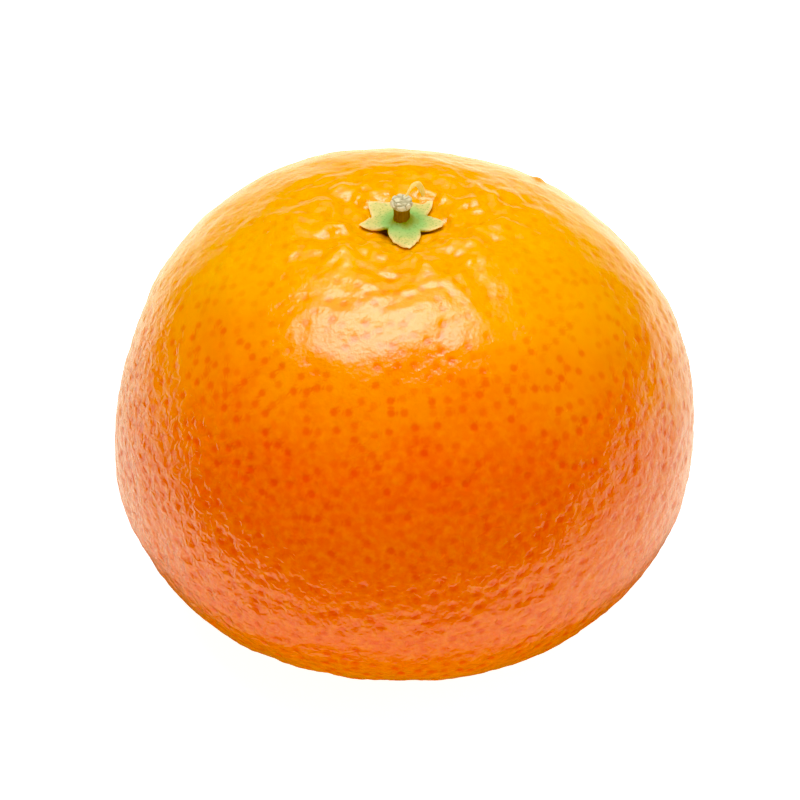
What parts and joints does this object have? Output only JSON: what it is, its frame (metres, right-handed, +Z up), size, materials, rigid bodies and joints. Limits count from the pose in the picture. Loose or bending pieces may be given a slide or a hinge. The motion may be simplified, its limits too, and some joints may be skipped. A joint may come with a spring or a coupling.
{
  "type": "mandarin",
  "caption": "Whole fresh mandarin, an oblate fruit dimpled at the stem end, with a pointed green calyx and a cut stem stub, resting on a small flat spot at its blossom end.",
  "frame": {"origin": "on the resting plane at the blossom end, under the stem", "axes": "+Z up along the stem axis; -Y is the side that the picture was taken from; +X to that side's right"},
  "size_m": [0.0638, 0.0635, 0.0517],
  "materials": {
    "rind": "waxy satin peel with fine pits",
    "sepal_green": "matte",
    "dried_stem": "matte, dry"
  },
  "bodies": {
    "root": {"fruit": "rind", "calyx": "sepal_green", "stem_stub": "dried_stem"}
  },
  "joints": []
}
